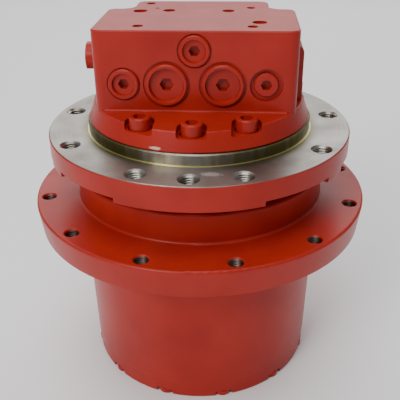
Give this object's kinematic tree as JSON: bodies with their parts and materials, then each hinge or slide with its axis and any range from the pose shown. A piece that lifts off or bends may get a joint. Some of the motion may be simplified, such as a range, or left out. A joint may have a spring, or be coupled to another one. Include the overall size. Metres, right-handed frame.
{
  "type": "excavator final drive",
  "caption": "Hydraulic travel motor with valve block in a planetary final drive: fixed frame flange and block above, turning hub with sprocket flange and end cover below.",
  "frame": {"origin": "on the main axis at the machined frame face of the fixed flange", "axes": "+Z along the main axis up through the valve block, -Y towards the block's face with the five plugs, +X to the right of that face"},
  "size_m": [0.3058, 0.3058, 0.3277],
  "materials": {
    "red_enamel": "semi-gloss enamel over cast iron",
    "case_enamel": "semi-gloss enamel, with the frame face and spigot machined bare",
    "painted_steel": "semi-gloss enamel over steel",
    "gear_steel": "hobbed and case hardened, oiled",
    "ground_steel": "ground and polished",
    "plain_steel": "turned, oiled",
    "spring_steel": "cold-wound wire",
    "bronze": "machined bronze",
    "rubber": "matt nitrile rubber",
    "friction_lining": "sintered lining, matt",
    "nylon": "cast nylon"
  },
  "bodies": {
    "case": {"spindle_case": "case_enamel", "valve_block": "red_enamel", "block_screws": "painted_steel", "relief_plugs": "painted_steel", "cup_plugs": "painted_steel", "gauge_plug": "painted_steel", "spool_caps": "painted_steel", "valve_springs": "spring_steel", "valve_plate": "bronze", "swash_plate": "plain_steel", "servo_piston": "ground_steel", "shaft_bearing_outer_rings": "ground_steel", "shaft_seal": "rubber", "brake_steel_plates": "plain_steel", "brake_springs": "spring_steel", "main_bearing_inner_rings": "ground_steel", "bearing_nut": "plain_steel", "face_seal_ring_fixed": "ground_steel", "face_seal_rubber_fixed": "rubber", "output_carrier": "gear_steel", "output_carrier_screws": "plain_steel", "output_planet_pins": "ground_steel", "output_planet_needles": "ground_steel"},
    "hub": {"hub_drum": "red_enamel", "ring_gear": "gear_steel", "ring_gear_keys": "ground_steel", "end_cover": "red_enamel", "cover_screws": "painted_steel", "oil_plugs": "painted_steel", "cover_o_ring": "rubber", "thrust_pad": "nylon", "main_bearing_outer_rings": "ground_steel", "face_seal_ring_turning": "ground_steel", "face_seal_rubber_turning": "rubber"},
    "motor_rotor": {"motor_shaft": "gear_steel", "cylinder_block": "gear_steel", "pistons": "ground_steel", "slippers": "bronze", "retainer_plate": "plain_steel", "ball_guide": "bronze", "brake_linings": "friction_lining", "shaft_bearing_inner_ring": "ground_steel", "sun_gear_1": "gear_steel"},
    "intermediate_carrier": {"input_carrier": "gear_steel", "input_planet_pins": "ground_steel", "input_planet_needles": "ground_steel", "sun_gear_2": "gear_steel"},
    "main_bearing_cage": {"main_bearing_rollers": "ground_steel"},
    "shaft_bearing_cage": {"shaft_bearing_rollers": "ground_steel"},
    "brake_piston": {"brake_piston": "plain_steel"},
    "counterbalance_spool": {"counterbalance_spool": "ground_steel"},
    "two_speed_spool": {"two_speed_spool": "ground_steel"},
    "relief_poppet_left": {"relief_poppet_left": "ground_steel"},
    "relief_poppet_right": {"relief_poppet_right": "ground_steel"},
    "input_planet_a": {"input_planet_a": "gear_steel"},
    "output_planet_a": {"output_planet_a": "gear_steel"},
    "input_planet_b": {"input_planet_b": "gear_steel"},
    "output_planet_b": {"output_planet_b": "gear_steel"},
    "input_planet_c": {"input_planet_c": "gear_steel"},
    "output_planet_c": {"output_planet_c": "gear_steel"}
  },
  "joints": [
    {"name": "hub_spin", "type": "hinge", "parent": "case", "child": "hub", "pos_m": [0, 0, 0], "axis": [0, 0, 1], "continuous": true},
    {"name": "motor_spin", "type": "hinge", "parent": "case", "child": "motor_rotor", "pos_m": [0, 0, 0], "axis": [0, 0, 1], "continuous": true},
    {"name": "intermediate_spin", "type": "hinge", "parent": "case", "child": "intermediate_carrier", "pos_m": [0, 0, 0], "axis": [0, 0, 1], "continuous": true},
    {"name": "main_bearing_roll", "type": "hinge", "parent": "case", "child": "main_bearing_cage", "pos_m": [0, 0, 0], "axis": [0, 0, 1], "continuous": true},
    {"name": "shaft_bearing_roll", "type": "hinge", "parent": "case", "child": "shaft_bearing_cage", "pos_m": [0, 0, 0], "axis": [0, 0, 1], "continuous": true},
    {"name": "output_planet_a_spin", "type": "hinge", "parent": "case", "child": "output_planet_a", "pos_m": [0.05362, 0, -0.1425], "axis": [0, 0, 1], "continuous": true},
    {"name": "input_planet_a_spin", "type": "hinge", "parent": "intermediate_carrier", "child": "input_planet_a", "pos_m": [0.0495, 0, -0.188], "axis": [0, 0, 1], "continuous": true},
    {"name": "output_planet_b_spin", "type": "hinge", "parent": "case", "child": "output_planet_b", "pos_m": [-0.02681, 0.04644, -0.1425], "axis": [0, 0, 1], "continuous": true},
    {"name": "input_planet_b_spin", "type": "hinge", "parent": "intermediate_carrier", "child": "input_planet_b", "pos_m": [-0.02475, 0.04287, -0.188], "axis": [0, 0, 1], "continuous": true},
    {"name": "output_planet_c_spin", "type": "hinge", "parent": "case", "child": "output_planet_c", "pos_m": [-0.02681, -0.04644, -0.1425], "axis": [0, 0, 1], "continuous": true},
    {"name": "input_planet_c_spin", "type": "hinge", "parent": "intermediate_carrier", "child": "input_planet_c", "pos_m": [-0.02475, -0.04287, -0.188], "axis": [0, 0, 1], "continuous": true},
    {"name": "brake_release", "type": "slide", "parent": "case", "child": "brake_piston", "axis": [0, 0, 1], "range_m": [0, 0.002], "stiffness_N_per_m": 5000, "springref_m": -0.01, "deforming": ["brake_springs"]},
    {"name": "counterbalance_shift", "type": "slide", "parent": "case", "child": "counterbalance_spool", "axis": [1, 0, 0], "range_m": [-0.004, 0.004], "stiffness_N_per_m": 2000},
    {"name": "two_speed_shift", "type": "slide", "parent": "case", "child": "two_speed_spool", "axis": [0, 1, 0], "range_m": [0, 0.005], "stiffness_N_per_m": 500, "springref_m": -0.003},
    {"name": "relief_left_lift", "type": "slide", "parent": "case", "child": "relief_poppet_left", "axis": [0, -1, 0], "range_m": [0, 0.0015], "stiffness_N_per_m": 1000, "springref_m": -0.002},
    {"name": "relief_right_lift", "type": "slide", "parent": "case", "child": "relief_poppet_right", "axis": [0, -1, 0], "range_m": [0, 0.0015], "stiffness_N_per_m": 1000, "springref_m": -0.002}
  ],
  "couplings": [
    {"joint": "motor_spin", "follows": "hub_spin", "ratio": -25},
    {"joint": "intermediate_spin", "follows": "hub_spin", "ratio": -3.3333},
    {"joint": "main_bearing_roll", "follows": "hub_spin", "ratio": 0.52013},
    {"joint": "shaft_bearing_roll", "follows": "hub_spin", "ratio": -10.926},
    {"joint": "output_planet_a_spin", "follows": "hub_spin", "ratio": 2.8571},
    {"joint": "input_planet_a_spin", "follows": "hub_spin", "ratio": 10.833},
    {"joint": "output_planet_b_spin", "follows": "hub_spin", "ratio": 2.8571},
    {"joint": "input_planet_b_spin", "follows": "hub_spin", "ratio": 10.833},
    {"joint": "output_planet_c_spin", "follows": "hub_spin", "ratio": 2.8571},
    {"joint": "input_planet_c_spin", "follows": "hub_spin", "ratio": 10.833}
  ]
}
